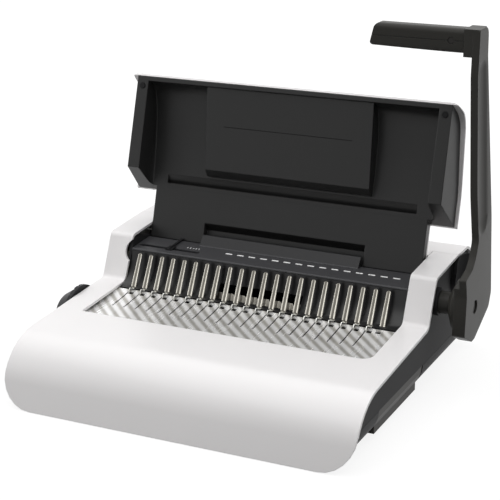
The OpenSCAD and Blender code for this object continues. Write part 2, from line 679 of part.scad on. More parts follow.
module idler_gears() color("#d8d4c4")
  gear(idler_teeth, 90 + 180 / idler_teeth, axle_r + run_fit, shaft_y, idler_z);

rack_teeth = ceil(hook_travel / (PI * gear_m)) + 4;
module rack_tooth(y) {
  h = PI * gear_m / 4 - tooth_play;
  root = h + 1.25 * gear_m * tan(press);
  tip = h - gear_m * tan(press);
  translate([y, 0]) polygon([[-root, rack_root - 0.2], [-root, rack_root], [-tip, rack_z + gear_m],
    [tip, rack_z + gear_m], [root, rack_root], [root, rack_root - 0.2]]);
}
module hook_carriage() color("#8d8f90") {
  // Cross bar under the tray
  block([-gear_out, gear_out], [-carriage_y, carriage_y], [carriage_z0, rack_root]);
  // Side bars with the racks
  both_sides() along_x(gear_in, gear_out) union() {
    translate([-carriage_y, carriage_z0])
      square([shaft_y + (rack_teeth - 1.5) * PI * gear_m + carriage_y, rack_root - carriage_z0]);
    for (t = [-2:rack_teeth - 3]) rack_tooth(shaft_y + t * PI * gear_m);
  }
}
module opener_hooks() color("#dcdcda") for (i = [0:hook_count - 1]) translate([tine_x(i), 0, 0]) {
  // Stem that stands in the slot of the tray
  along_x(-hook_t / 2, hook_t / 2) polygon(closed_round([[-3, rack_root], [3.5, rack_root], [2.7, 72],
    [4.6, 75.6], [1.2, 75.6], [-1.6, 72]], [0, 0, 4, 0, 3, 4]));
  // Tab turned to the right over the ring
  block([hook_t / 2, 5.4], [1.4, 4.8], [74.7, 75.6]);
}

// Lid, drawn closed and then swung open about its hinge
module open_lid() translate([0, hinge_y, hinge_z]) rotate([-lid_open, 0, 0])
  translate([0, -hinge_y, -hinge_z]) children();
lid_line = round_path([[lid_front + 0.1, 72.9], [-81, 100.8], [0, arm_top_at(0) - 0.2],
  [lid_tail, arm_top_at(lid_tail) - 0.2]], [0, 32, 120, 0]);
skin_inner = inset(lid_line, skin_t);
liner_top = inset(lid_line, skin_t + 0.2);
// What lies behind the front faces of the arms
module arm_space(w0) both_sides() along_x(w0, half_w + 5)
  polygon([[face_at(60) - 1.2, 60], [face_at(150) - 1.2, 150], [200, 150], [200, 60]]);
module lid_skin() color("#f2f2f3") open_lid() difference() {
  intersection() {
    along_x(-half_w, half_w) polygon(concat(lid_line, reversed(skin_inner)));
    linear_extrude(200) polygon(closed_round([[-half_w, lid_front], [half_w, lid_front],
      [half_w, 200], [-half_w, 200]], [9, 9, 0, 0]));
  }
  arm_space(neck_w / 2);
}
module lid_liner() color("#333433") open_lid() {
  lid_tub();
  centre_panel();
}
module lid_tub() difference() {
  intersection() {
    along_x(-cap_w, cap_w) polygon(concat(liner_top, [[lid_tail, 121], [91.5, under_at(91.5)],
      [face_at(under_at(33)) - 1.2, under_at(33)], [foot_y - 1.2, deck_z + rim_gap]]));
    rotate([90, 0, 0]) translate([0, 0, -200]) linear_extrude(400)
      polygon([[-rim_w, 60], [rim_w, 60], [rim_w, 72], [cap_w, 124], [cap_w, 140], [-cap_w, 140],
        [-cap_w, 124], [-rim_w, 72]]);
  }
  // Tub between the end caps, rounded where it is deepest
  intersection() {
    along_x(-tub_w, tub_w) polygon(concat([[-84, 60]], tub_curve, [[50, under_at(50)], [50, 60]]));
    translate([0, 60, 0]) rotate([90, 0, 0]) linear_extrude(160)
      polygon(closed_round([[-tub_w, 50], [tub_w, 50], [tub_w, 121], [-tub_w, 121]], [0, 0, 18, 18]));
  }
  arm_space(neck_w / 2);
  // Long recess above the neck, deep along its hinge side
  along_x(-recess_w, recess_w)
    polygon([[17, 100], [17, under_at(17) + 0.3], [27.5, under_at(27.5) + 6], [27.5, 100]]);
  // Relief that clears the platform
  along_x(-platform_w - 1.5, platform_w + 1.5) polygon([[68, under_at(68) - 2], [68, under_at(68)], [75, 125],
    [lid_tail + 2, 126], [lid_tail + 2, 110]]);
  rod(-neck_w / 2 - 1, -neck_w / 2 + 11, hinge_y, hinge_z, hinge_d / 2 + run_fit);
  rod(neck_w / 2 - 11, neck_w / 2 + 1, hinge_y, hinge_z, hinge_d / 2 + run_fit);
  // Sockets of the rubber bumpers
  for (x = [-bumper_x, bumper_x])
    translate([x, bumper_y, 60]) cylinder(r = bumper_r + 0.1, h = deck_at(bumper_y) - 56.7);
}
tub_curve = [for (i = [0:10]) bez([-84, 78], [-80, 100], [-50, 108.5], [20, under_at(20)], i / 10)];
module centre_panel() along_x(-panel_w, panel_w)
  polygon(concat([[-83.7, 75.2], [7.5, 99], [14.5, 107], [14.5, 113.2]], [for (i = [9:-1:1]) tub_curve[i]]));
module lid_bumpers() color("#1a1a1a") open_lid() for (x = [-bumper_x, bumper_x])
  translate([x, bumper_y, deck_at(bumper_y) + 0.4]) cylinder(r = bumper_r, h = 2.8);

// Comb-size knob on the left side
module size_knob() color("#2e2e30") difference() {
  union() {
    rod(knob_x - 4.5, knob_x, knob_y, knob_z, knob_r);
    rod(knob_x - 6.2, knob_x - 4.2, knob_y, knob_z, 30);
    translate([knob_x - 6, knob_y, knob_z]) rotate([0, -90, 0]) cylinder(r1 = 33.5, r2 = 24.5, h = 14);
    rod(knob_x - 22, knob_x - 19, knob_y, knob_z, 22.4);
    rod(knob_x - 0.5, -cover_out - 0.6, knob_y, knob_z, knob_hole - 1);
  }
  translate([knob_x - 23, knob_y, knob_z]) rotate([0, 90, 0]) cylinder(r1 = 19, r2 = 15, h = 3.5);
  rod(knob_x - 15, knob_x + 18, knob_y, knob_z, axle_r + run_fit);
  for (a = [0:15:345]) translate([knob_x - 13, knob_y, knob_z]) rotate([a, 0, 0]) translate([0, 0, 31.2])
    rotate([0, 57.3, 0]) cylinder(r = 1.6, h = 30, center = true);
}
module knob_shaft() color("#a5a5a3") rod(knob_x - 14.8, -frame_out - 0.8, knob_y, knob_z, axle_r);
module knob_bushing() color("#d8d4c4") difference() {
  union() {
    rod(-cover_out, -cover_out + 5, knob_y, knob_z, knob_hole - 0.1);
    rod(-cover_out + 3.2, -cover_out + 5, knob_y, knob_z, knob_hole + 3);
  }
  rod(-cover_out - 6, -cover_out + 9, knob_y, knob_z, axle_r + run_fit);
}
// Stepped cam that limits how far the hooks travel
function stop_at(s, a0, a1) = [for (a = [a0:15:a1]) stop_r[s] * [cos(a), sin(a)]];
module stop_cam() color("#7d7d7b") translate([-gear_out, knob_y, knob_z]) rotate([90, 0, 90]) difference() {
  linear_extrude(gear_w)
    polygon(concat(stop_at(0, 0, 180), stop_at(1, 180, 240), stop_at(2, 240, 300), stop_at(3, 300, 360)));
  translate([0, 0, -1]) cylinder(r = axle_r + run_fit, h = 20);
}

module chip_drawer() color("#383632") {
  y0 = drawer_y0 + 3;
  y1 = drawer_y1 - 3;
  top = drawer_z + drawer_h;
  difference() {
    block([drawer_x0, drawer_x1], [y0, y1], [drawer_z, top]);
    block([drawer_x0 + drawer_t, drawer_x1 - drawer_t], [y0 + drawer_t, y1 - drawer_t],
      [drawer_z + drawer_t, top + 1]);
  }
  // End that follows the side of the base and bulges down as a finger pull
  intersection() {
    difference() {
      front_mask(cover_out - 0.5, 2.5, 36);
      front_mask(cover_out - 0.5, 2.5, 36, 5);
    }
    block([drawer_x1 - 24, cover_out], [drawer_y0, drawer_y1], [0, side_z - gap]);
  }
  block([drawer_x1 - 2, drawer_x1 + 9], [y0 + 1, y1 - 1], [drawer_z, top]);
}

base_housing();
right_side_cover();
left_side_cover();
top_shell();
rear_cover();
arm_liners();
comb_wall();
top_strip();
binding_tray();
comb_tines();
guide_plate();
die_plate();
paper_stop();
side_frames();
shaft_bushings();
idler_axles();
hook_guides();
punch_springs();
chip_chute();
hinge_pins();
rubber_feet();
base_screws();
knob_bushing();
lever_arm();
grip_upper_half();
grip_lower_half();
grip_core();
grip_screw();
lever_screw();
main_shaft();
punch_cams();
opener_gears();
idler_gears();
punch_bar();
punch_pins();
hook_carriage();
opener_hooks();
edge_guide();
lid_skin();
lid_liner();
lid_bumpers();
size_knob();
knob_shaft();
stop_cam();
chip_drawer();
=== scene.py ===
"""Comb binding machine: finishes, printed marks, studio and camera."""
import json
import math

import bpy
from mathutils import Matrix, Vector

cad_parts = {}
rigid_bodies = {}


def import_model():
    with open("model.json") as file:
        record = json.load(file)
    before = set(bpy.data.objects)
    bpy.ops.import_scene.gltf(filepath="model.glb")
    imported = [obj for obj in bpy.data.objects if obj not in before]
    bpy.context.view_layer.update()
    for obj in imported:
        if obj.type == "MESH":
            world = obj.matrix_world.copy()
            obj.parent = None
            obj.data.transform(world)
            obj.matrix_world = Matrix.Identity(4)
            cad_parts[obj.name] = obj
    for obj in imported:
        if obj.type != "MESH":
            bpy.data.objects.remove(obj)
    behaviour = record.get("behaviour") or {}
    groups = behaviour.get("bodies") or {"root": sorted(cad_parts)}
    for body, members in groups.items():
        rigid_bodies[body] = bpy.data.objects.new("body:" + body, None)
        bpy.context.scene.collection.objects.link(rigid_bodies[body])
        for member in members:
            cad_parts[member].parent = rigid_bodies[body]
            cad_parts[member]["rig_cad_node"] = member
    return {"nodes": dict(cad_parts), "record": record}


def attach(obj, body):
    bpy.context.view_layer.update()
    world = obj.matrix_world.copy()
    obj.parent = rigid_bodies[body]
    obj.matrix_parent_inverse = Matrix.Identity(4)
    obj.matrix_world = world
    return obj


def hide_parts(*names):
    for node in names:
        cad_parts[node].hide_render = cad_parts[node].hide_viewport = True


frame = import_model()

bl_info = {
    "name": "Comb Binding Machine",
    "version": (1, 0, 0),
    "blender": (4, 5, 0),
    "location": "View3D > Sidebar > Binder",
    "description": "Finishes and small details of a manual comb binding machine",
    "category": "Object",
}

# Lengths are in millimetres, apart from those of the studio, which are in metres
MM = 0.001
# Distance between two teeth of a comb, and the place of the first tine from left to right
PITCH = 14.2875
FIRST_TINE_X = -152.0
# The strip's front edge, as depth and height, its rise to the rear, and the level above which its platform
# gets painted shade, with the height over which that shade fades in
STRIP_FRONT = (34.2, 111.35)
STRIP_SLOPE = 0.0676
PLATFORM_SHADE_Z = 114.2
PLATFORM_SHADE_BLEND = 0.4
# The lid's hinge and the face of its panel, from the front edge to the rear, with the lid closed
HINGE = (83.1, 120.5)
LID_OPEN = 109.6
PANEL_FRONT = (-83.7, 75.2)
PANEL_REAR = (7.5, 99.0)
# The line on the panel, drawn as its painted shadow: how far up it stands as a share, and its length, width
# and thickness
PANEL_LINE = 0.46
PANEL_LINE_SIZE = (155, 0.9, 0.16)
PANEL_LINE_CORNER = 0.3
# The printed dashes and ticks
FIRST_DASH_X = -54.0
DASH_Y = 56.0
DASH_COUNT = 15
DASH_CORNER = 0.5
FIRST_TICK_X = -107.0
TICK_Y = 57.5
TICK_PITCH = 3.6
TICK_COUNT = 5
TICK_SIZE = (0.7, 3.2)
TICK_CORNER = 0.2
# Thickness of a printed mark, and how far its middle stands above the strip
INK_T = 0.16
INK_LIFT = 0.04
# Size of the flow marks in a moulding, and how much its roughness varies
FLOW_MARK = 60
GLOSS_VARIES = 0.04
# Softened width of a metal edge, and how much a metal's colour varies as a share
METAL_EDGE = 0.2
METAL_SPREAD = 0.08
BEVEL_SAMPLES = 4
# Sockets of the colour mix node
MIX_FACTOR, MIX_FIRST, MIX_SECOND = 0, 6, 7
MIX_RESULT = 2
# Corners closer than this become one, and edges that turn by less than the angle are shaded smoothly
MERGE = 0.001
SMOOTH_ANGLE = math.radians(24)
# Nodes with large round faces, and the finish in the record that each one has
SMOOTH_NODES = {
    "top_shell": "white_plastic",
    "rear_cover": "white_plastic",
    "lid_skin": "white_plastic",
    "lid_liner": "lid_plastic",
    "lever_arm": "lever_plastic",
    "grip_upper_half": "lever_plastic",
    "grip_lower_half": "lever_plastic",
    "size_knob": "knob_plastic",
    "binding_tray": "polished_steel",
    "comb_wall": "gloss_black",
    "base_housing": "base_plastic",
    "right_side_cover": "cover_plastic",
    "top_strip": "strip_plastic",
}
WHITE = (1.0, 1.0, 1.0, 1.0)
# The studio, in metres: place, target and size of each softbox, the floor and the camera
OVERHEAD_PLACE = (0.15, 0.1, 1.7)
OVERHEAD_TARGET = (0.0, 0.0, 0.1)
OVERHEAD_SIZE = 3.4
SIDE_PLACE = (-2.0, -0.7, 0.9)
SIDE_TARGET = (0.0, 0.0, 0.12)
SIDE_SIZE = 1.4
FLOOR_SIZE = 12
GLOW_NEAR = {"From Min": 0.5, "To Min": 0.87}
GLOW_FAR = {"From Max": 1.6, "To Max": 1.0}
CAMERA_PLACE = (0.6417, -1.3604, 0.6251)
CAMERA_TILT = math.radians(90 - 17.82)
CAMERA_TURN = math.radians(25.3)
CAMERA_LENS = 105.99
CAMERA_SENSOR = 36
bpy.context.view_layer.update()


def linear(code):
    """Turns an sRGB hex colour into the linear colour that the shaders use."""
    parts = [int(code[i:i + 2], 16) / 255 for i in (1, 3, 5)]
    return tuple(c / 12.92 if c <= 0.04045 else ((c + 0.055) / 1.055) ** 2.4 for c in parts) + (1.0,)


def add_node(tree, kind, inputs=None, **settings):
    """Adds one node with its settings; inputs gives each socket a value or a link."""
    made = tree.nodes.new(kind)
    for key, value in settings.items():
        setattr(made, key, value)
    for socket, value in (inputs or {}).items():
        if isinstance(value, bpy.types.NodeSocket):
            tree.links.new(value, made.inputs[socket])
        else:
            made.inputs[socket].default_value = value
    return made


def new_material(name):
    """An empty material with its output node, ready for a surface."""
    made = bpy.data.materials.new(name)
    made.use_nodes = True
    made.node_tree.nodes.clear()
    return made, made.node_tree, add_node(made.node_tree, "ShaderNodeOutputMaterial")


def shade(colour, factor):
    """The same colour, lighter or darker."""
    return tuple(min(1.0, c * factor) for c in colour[:3]) + (1.0,)


def moulded_plastic(name, code, rough, grain, depth, edge=0.5, spread=0.05, index=1.25):
    """Moulded plastic: even colour, grain from the mould, softened edges and faint flow marks.

    The grain breaks up the reflection, which a lower refractive index stands for."""
    made, tree, out = new_material(name)
    place = add_node(tree, "ShaderNodeTexCoord")
    flow = add_node(tree, "ShaderNodeTexNoise", {"Vector": place.outputs["Object"],
                                                 "Scale": 1 / (FLOW_MARK * MM), "Detail": 3.0})
    colour = linear(code)
    tint = add_node(tree, "ShaderNodeMix", {MIX_FACTOR: flow.outputs["Fac"],
                                            MIX_FIRST: shade(colour, 1 - spread),
                                            MIX_SECOND: shade(colour, 1 + spread)}, data_type="RGBA")
    gloss = add_node(tree, "ShaderNodeMapRange", {"Value": flow.outputs["Fac"],
                                                  "To Min": rough - GLOSS_VARIES,
                                                  "To Max": rough + GLOSS_VARIES})
    # The grain is drawn a little coarser than the mould's own, so that it shows
    grit = add_node(tree, "ShaderNodeTexNoise", {"Vector": place.outputs["Object"],
                                                 "Scale": 1 / (grain * MM), "Detail": 2.0})
    soft = add_node(tree, "ShaderNodeBevel", {"Radius": edge * MM}, samples=BEVEL_SAMPLES)
    bump = add_node(tree, "ShaderNodeBump", {"Height": grit.outputs["Fac"], "Distance": depth * MM,
                                             "Normal": soft.outputs["Normal"]})
    skin = add_node(tree, "ShaderNodeBsdfPrincipled", {"Base Color": tint.outputs[MIX_RESULT],
                                                       "Roughness": gloss.outputs["Result"],
                                                       "Normal": bump.outputs["Normal"], "IOR": index})
    tree.links.new(skin.outputs["BSDF"], out.inputs["Surface"])
    return made


def rolled_metal(name, code, rough, line, stretch, depth):
    """Rolled or drawn metal: fine lines along one way, kept from the rolling or the polishing."""
    made, tree, out = new_material(name)
    place = add_node(tree, "ShaderNodeTexCoord")
    turn = add_node(tree, "ShaderNodeMapping", {"Vector": place.outputs["Object"], "Scale": stretch})
    lines = add_node(tree, "ShaderNodeTexNoise", {"Vector": turn.outputs["Vector"],
                                                  "Scale": 1 / (line * MM), "Detail": 3.0})
    colour = linear(code)
    tint = add_node(tree, "ShaderNodeMix", {MIX_FACTOR: lines.outputs["Fac"],
                                            MIX_FIRST: shade(colour, 1 - METAL_SPREAD),
                                            MIX_SECOND: shade(colour, 1 + METAL_SPREAD)}, data_type="RGBA")
    gloss = add_node(tree, "ShaderNodeMapRange", {"Value": lines.outputs["Fac"], "To Min": rough * 0.7,
                                                  "To Max": rough * 1.3})
    soft = add_node(tree, "ShaderNodeBevel", {"Radius": METAL_EDGE * MM}, samples=BEVEL_SAMPLES)
    bump = add_node(tree, "ShaderNodeBump", {"Height": lines.outputs["Fac"], "Distance": depth * MM,
                                             "Normal": soft.outputs["Normal"]})
    skin = add_node(tree, "ShaderNodeBsdfPrincipled", {"Base Color": tint.outputs[MIX_RESULT],
                                                       "Metallic": 1.0,
                                                       "Roughness": gloss.outputs["Result"],
                                                       "Normal": bump.outputs["Normal"]})
    tree.links.new(skin.outputs["BSDF"], out.inputs["Surface"])
    return made


def tine_distance(tree, place, slant=0.0):
    """Distance to the middle of the nearest tine, as a share of the pitch: 0 on it, 0.5 between two.

    With a slant, the lines of equal distance run sideways towards the front."""
    split = add_node(tree, "ShaderNodeSeparateXYZ", {0: place.outputs["Object"]})
    lean = add_node(tree, "ShaderNodeMath", {0: split.outputs["Y"], 1: slant, 2: split.outputs["X"]},
                    operation="MULTIPLY_ADD")
    shift = add_node(tree, "ShaderNodeMath", {0: lean.outputs[0], 1: FIRST_TINE_X * MM}, operation="SUBTRACT")
    cells = add_node(tree, "ShaderNodeMath", {0: shift.outputs[0], 1: PITCH * MM}, operation="DIVIDE")
    nearest = add_node(tree, "ShaderNodeMath", {0: cells.outputs[0]}, operation="ROUND")
    apart = add_node(tree, "ShaderNodeMath", {0: cells.outputs[0], 1: nearest.outputs[0]},
                     operation="SUBTRACT")
    return add_node(tree, "ShaderNodeMath", {0: apart.outputs[0]}, operation="ABSOLUTE").outputs[0]


def embossed_tines(name):
    """Nickel-plated steel whose tines have a pressed groove down the middle, with painted shade in the groove
    and painted highlights along the edges.
    """
    made, tree, out = new_material(name)
    place = add_node(tree, "ShaderNodeTexCoord")
    across = tine_distance(tree, place)
    rub = add_node(tree, "ShaderNodeTexNoise", {"Vector": place.outputs["Object"], "Scale": 1 / (3 * MM),
                                                "Detail": 3.0})
    edge = add_node(tree, "ShaderNodeMapRange", {"Value": across, "From Min": 0.06, "From Max": 0.15},
                    interpolation_type="SMOOTHSTEP")
    # Painted shade down the middle of each tine and painted highlights along its edges
    tint = add_node(tree, "ShaderNodeMix", {MIX_FACTOR: edge.outputs["Result"], MIX_FIRST: linear("#67645d"),
                                            MIX_SECOND: linear("#c9c5bb")}, data_type="RGBA")
    gloss = add_node(tree, "ShaderNodeMapRange", {"Value": rub.outputs["Fac"],
                                                  "To Min": 0.25, "To Max": 0.42})
    soft = add_node(tree, "ShaderNodeBevel", {"Radius": 0.8 * MM}, samples=BEVEL_SAMPLES)
    bump = add_node(tree, "ShaderNodeBump", {"Height": edge.outputs["Result"], "Distance": 0.5 * MM,
                                             "Normal": soft.outputs["Normal"]})
    skin = add_node(tree, "ShaderNodeBsdfPrincipled", {"Base Color": tint.outputs[MIX_RESULT],
                                                       "Metallic": 0.8,
                                                       "Roughness": gloss.outputs["Result"],
                                                       "Normal": bump.outputs["Normal"]})
    tree.links.new(skin.outputs["BSDF"], out.inputs["Surface"])
    return made


def polished_tray(name):
    """Stainless sheet, polished from front to rear, with painted reflections: bright and grey streaks that
    run aslant between every two slots.
    """
    made, tree, out = new_material(name)
    place = add_node(tree, "ShaderNodeTexCoord")
    turn = add_node(tree, "ShaderNodeMapping", {"Vector": place.outputs["Object"], "Scale": (1.0, 0.12, 1.0)})
    lines = add_node(tree, "ShaderNodeTexNoise", {"Vector": turn.outputs["Vector"], "Scale": 1 / (5 * MM),
                                                  "Detail": 1.0})
    # Painted reflection: grey streaks where the tines would be mirrored, and bright ones between them
    painted_reflection_lane = add_node(tree, "ShaderNodeMapRange", {"Value": tine_distance(tree, place, slant=1.0),
                                                 "From Min": 0.05, "From Max": 0.45},
                    interpolation_type="SMOOTHSTEP")
    polish_lines_and_painted_reflection = add_node(tree, "ShaderNodeMath", {0: lines.outputs["Fac"], 1: 0.35, 2: painted_reflection_lane.outputs["Result"]},
                     operation="MULTIPLY_ADD")
    tint = add_node(tree, "ShaderNodeMix", {MIX_FACTOR: polish_lines_and_painted_reflection.outputs[0], MIX_FIRST: linear("#aaa79f"),
                                            MIX_SECOND: linear("#ffffff")}, data_type="RGBA")
    gloss = add_node(tree, "ShaderNodeMapRange", {"Value": lines.outputs["Fac"],
                                                  "To Min": 0.16, "To Max": 0.34})
    skin = add_node(tree, "ShaderNodeBsdfPrincipled", {"Base Color": tint.outputs[MIX_RESULT],
                                                       "Metallic": 0.5,
                                                       "Roughness": gloss.outputs["Result"]})
    tree.links.new(skin.outputs["BSDF"], out.inputs["Surface"])
    return made


def strip_plastic(name):
    """Grey satin strip whose platform, above its top face, is painted darker as shade; the platform is as
    glossy as the strip.
    """
    made = moulded_plastic(name, "#404042", 0.4, 1.0, 0.01, edge=1.2, index=1.35)
    tree = made.node_tree
    skin = next(item for item in tree.nodes if item.type == "BSDF_PRINCIPLED")
    satin = skin.inputs["Base Color"].links[0].from_socket
    place = add_node(tree, "ShaderNodeTexCoord")
    split = add_node(tree, "ShaderNodeSeparateXYZ", {0: place.outputs["Object"]})
    # Painted shade: above this level the platform is painted near black, for the shade that falls on its
    # steep face
    high = add_node(tree, "ShaderNodeMapRange", {"Value": split.outputs["Z"], "From Min": PLATFORM_SHADE_Z * MM,
                                                 "From Max": (PLATFORM_SHADE_Z + PLATFORM_SHADE_BLEND) * MM})
    painted_platform_shade = add_node(tree, "ShaderNodeMix", {MIX_FACTOR: high.outputs["Result"], MIX_FIRST: satin,
                                            MIX_SECOND: linear("#18181a")}, data_type="RGBA")
    tree.links.new(painted_platform_shade.outputs[MIX_RESULT], skin.inputs["Base Color"])
    return made


def dress(material, *nodes):
    """Gives a finish to CAD nodes, whose shape stays as it is."""
    for name in nodes:
        slots = frame["nodes"][name].data.materials
        slots.clear()
        slots.append(material)


def start_clean():
    """Leaves edit mode and deselects everything."""
    if bpy.context.object and bpy.context.object.mode != "OBJECT":
        bpy.ops.object.mode_set(mode="OBJECT")
    bpy.ops.object.select_all(action="DESELECT")


def copy_of(source):
    """A copy of an object with its own mesh, selected alone and active."""
    start_clean()
    source.select_set(True)
    bpy.context.view_layer.objects.active = source
    bpy.ops.object.duplicate(linked=False)
    return bpy.context.object


def smooth_twin(node):
    """A copy of a CAD node, merged and with its round faces shaded smoothly, that stands for the node."""
    piece = copy_of(frame["nodes"][node])
    piece.name = piece.data.name = node + "_smooth"
    del piece["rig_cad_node"]
    bpy.ops.object.mode_set(mode="EDIT")
    bpy.ops.mesh.select_all(action="SELECT")
    bpy.ops.mesh.remove_doubles(threshold=MERGE * MM)
    bpy.ops.object.mode_set(mode="OBJECT")
    bpy.ops.mesh.customdata_custom_splitnormals_clear()
    bpy.ops.object.shade_smooth_by_angle(angle=SMOOTH_ANGLE)
    # Large flat faces stay flat, and the narrow ones beside them take the turn
    bpy.ops.object.modifier_add(type="WEIGHTED_NORMAL")
    piece.modifiers[-1].keep_sharp = True
    bpy.ops.object.modifier_apply(modifier=piece.modifiers[-1].name)
    bodies = frame["record"]["behaviour"]["bodies"]
    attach(piece, next(body for body, members in bodies.items() if node in members))
    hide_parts(node)


def strip_top(y):
    """Height of the strip's top at a place from front to rear, in millimetres."""
    return STRIP_FRONT[1] + (y - STRIP_FRONT[0]) * STRIP_SLOPE


def flat_mark(name, size, corner, tilt):
    """Models a thin flat mark with rounded corners at the origin, tilted about the machine's width."""
    start_clean()
    scale = tuple(length * MM for length in size)
    bpy.ops.mesh.primitive_cube_add(size=1, rotation=(tilt, 0, 0), scale=scale)
    bpy.ops.object.transform_apply(location=False, rotation=False, scale=True)
    piece = bpy.context.object
    piece.name = piece.data.name = name
    for edge in piece.data.edges:
        low, high = (piece.data.vertices[end].co for end in edge.vertices)
        edge.select = abs(low.z - high.z) > scale[2] / 2
    for face in piece.data.polygons:
        face.select = False
    bpy.ops.object.mode_set(mode="EDIT")
    bpy.ops.mesh.select_mode(type="EDGE")
    bpy.ops.mesh.bevel(offset=corner * MM, segments=3, affect="EDGES")
    bpy.ops.object.mode_set(mode="OBJECT")
    bpy.ops.object.transform_apply(location=False, rotation=True, scale=False)
    return piece


def copy_along(piece, places):
    """Copies a piece to each place, every copy with its own mesh, and joins them under its name."""
    name = piece.name
    copies = []
    for place in places:
        copies.append(copy_of(piece))
        bpy.ops.transform.translate(value=tuple(at * MM for at in place))
        bpy.ops.object.transform_apply(location=True, rotation=False, scale=False)
    bpy.data.objects.remove(piece)
    start_clean()
    for made in copies:
        made.select_set(True)
    bpy.context.view_layer.objects.active = copies[0]
    if len(copies) > 1:
        bpy.ops.object.join()
    copies[0].name = copies[0].data.name = name
    return copies[0]


def finish_piece(piece, material, body):
    """Gives a new piece its finish and the CAD body that it moves with."""
    piece.data.materials.clear()
    piece.data.materials.append(material)
    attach(piece, body)


def colour_property(name, description, code):
    return bpy.props.FloatVectorProperty(name=name, description=description, subtype="COLOR", size=4,
                                         min=0.0, max=1.0, default=linear(code))


def length_property(name, description, millimetres):
    return bpy.props.FloatProperty(name=name, description=description, subtype="DISTANCE", unit="LENGTH",
                                   default=millimetres * MM)


def power_property(name, description, watts):
    return bpy.props.FloatProperty(name=name, description=description, subtype="POWER", unit="POWER",
                                   default=watts)


class BinderMarks(bpy.types.PropertyGroup):
    """Sizes and colour of the printed marks."""
    colour: colour_property("Ink", "Colour of the printed marks", "#f6f6f6")
    pitch: length_property("Comb pitch", "Distance between two comb teeth", PITCH)
    dash: length_property("Dash length", "Length of one dash on the strip", 8.0)
    width: length_property("Dash width", "Width of one dash on the strip", 2.0)


class BinderStudio(bpy.types.PropertyGroup):
    """Light and floor."""
    ambient: bpy.props.FloatProperty(name="Ambient", description="Strength of the light from all round",
                                     default=0.2, min=0.0)
    key: power_property("Overhead light", "Power of the overhead softbox", 51.0)
    side: power_property("Side light", "Power of the side softbox", 16.0)
    floor: colour_property("Floor", "Colour of the floor", "#787878")


class BINDER_OT_white_shells(bpy.types.Operator):
    """Finishes the white top shell, rear cover and lid skin"""
    bl_idname = "binder.white_shells"
    bl_label = "White shells"

    def execute(self, context):
        # White ABS from a satin mould: bright, with broad soft highlights
        dress(moulded_plastic("white ABS, satin moulded", "#f0eeee", 0.3, 0.9, 0.004, edge=0.8, spread=0.01,
                              index=1.5),
              "top_shell", "rear_cover", "lid_skin")
        return {"FINISHED"}


class BINDER_OT_dark_covers(bpy.types.Operator):
    """Finishes the base, the side covers, the arm liners and the drawer"""
    bl_idname = "binder.dark_covers"
    bl_label = "Dark covers"

    def execute(self, context):
        # Charcoal ABS with a coarser grain that hides fingerprints: dull and even
        dress(moulded_plastic("charcoal ABS, grained", "#2a2a2b", 0.5, 1.1, 0.03, index=1.15),
              "base_housing", "right_side_cover", "left_side_cover", "arm_liners")
        # The drawer's ABS is a little browner and shinier
        dress(moulded_plastic("brown-black ABS, grained", "#2b2926", 0.45, 1.1, 0.02), "chip_drawer")
        return {"FINISHED"}


class BINDER_OT_lid(bpy.types.Operator):
    """Finishes the lid's liner and bumpers, and the feet"""
    bl_idname = "binder.lid"
    bl_label = "Lid"

    def execute(self, context):
        # Black ABS from a satin mould: soft broad sheen and rounded, lighter edges
        dress(moulded_plastic("black ABS, satin moulded", "#212121", 0.36, 1.0, 0.015, edge=1.6, spread=0.04,
                              index=1.35),
              "lid_liner")
        # Moulded rubber: the dullest and darkest finish of all
        dress(moulded_plastic("black rubber, moulded", "#121213", 0.7, 0.8, 0.01),
              "lid_bumpers", "rubber_feet")
        return {"FINISHED"}


class BINDER_OT_comb_bay(bpy.types.Operator):
    """Finishes the comb wall, the strip behind it and the edge guide"""
    bl_idname = "binder.comb_bay"
    bl_label = "Comb bay"

    def execute(self, context):
        # Black ABS from a polished mould: dark, with sharp reflections of the tines
        dress(moulded_plastic("black ABS, comb wall", "#0d0d0e", 0.3, 2.0, 0.004, edge=0.3, spread=0.02,
                              index=1.4),
              "comb_wall")
        # Grey ABS: the strip shines softly, and its platform is painted dark as shade
        dress(strip_plastic("grey ABS, satin strip with painted shade on the platform"), "top_strip")
        # Near-black ABS with crisp small edges
        dress(moulded_plastic("black ABS, edge guide", "#1b1b1c", 0.4, 1.0, 0.01, edge=0.2), "edge_guide")
        return {"FINISHED"}


class BINDER_OT_tray(bpy.types.Operator):
    """Finishes the tray, the tines, the hooks and the plates of the paper slot"""
    bl_idname = "binder.tray"
    bl_label = "Tray, tines and hooks"

    def execute(self, context):
        # Polished stainless sheet, with painted reflections: bright and grey streaks that run aslant between
        # the slots
        dress(polished_tray("stainless steel sheet, polished"), "binding_tray")
        # Pressed and nickel-plated steel: warm grey, with painted shade in the groove between painted
        # highlights on the edges
        dress(embossed_tines("nickel-plated steel, embossed"), "comb_tines")
        # Bright zinc: cool, clear highlights on thin bent sheet
        dress(rolled_metal("bright zinc-plated steel", "#c4c4c0", 0.25, 0.8, (1.0, 0.2, 1.0), 0.004),
              "opener_hooks", "hook_carriage", "guide_plate")
        return {"FINISHED"}


class BINDER_OT_lever(bpy.types.Operator):
    """Finishes the lever and its grip"""
    bl_idname = "binder.lever"
    bl_label = "Lever"

    def execute(self, context):
        # Glass-filled nylon, grained: warm charcoal with soft, light edges
        dress(moulded_plastic("charcoal glass-filled nylon, grained", "#2e2d2a", 0.4, 1.1, 0.03, edge=1.6,
                              index=1.25),
              "lever_arm")
        # The grip's halves are a shade darker than the arm
        dress(moulded_plastic("charcoal nylon, grip halves", "#2a2926", 0.4, 1.1, 0.03, edge=1.2, index=1.25),
              "grip_upper_half", "grip_lower_half")
        return {"FINISHED"}


class BINDER_OT_knob(bpy.types.Operator):
    """Finishes the comb-size knob"""
    bl_idname = "binder.knob"
    bl_label = "Comb-size knob"

    def execute(self, context):
        # Black ABS with a fine grain: even, with a soft sheen on its rim
        dress(moulded_plastic("black ABS, knob", "#1e1e20", 0.4, 1.0, 0.01, edge=0.5), "size_knob")
        return {"FINISHED"}


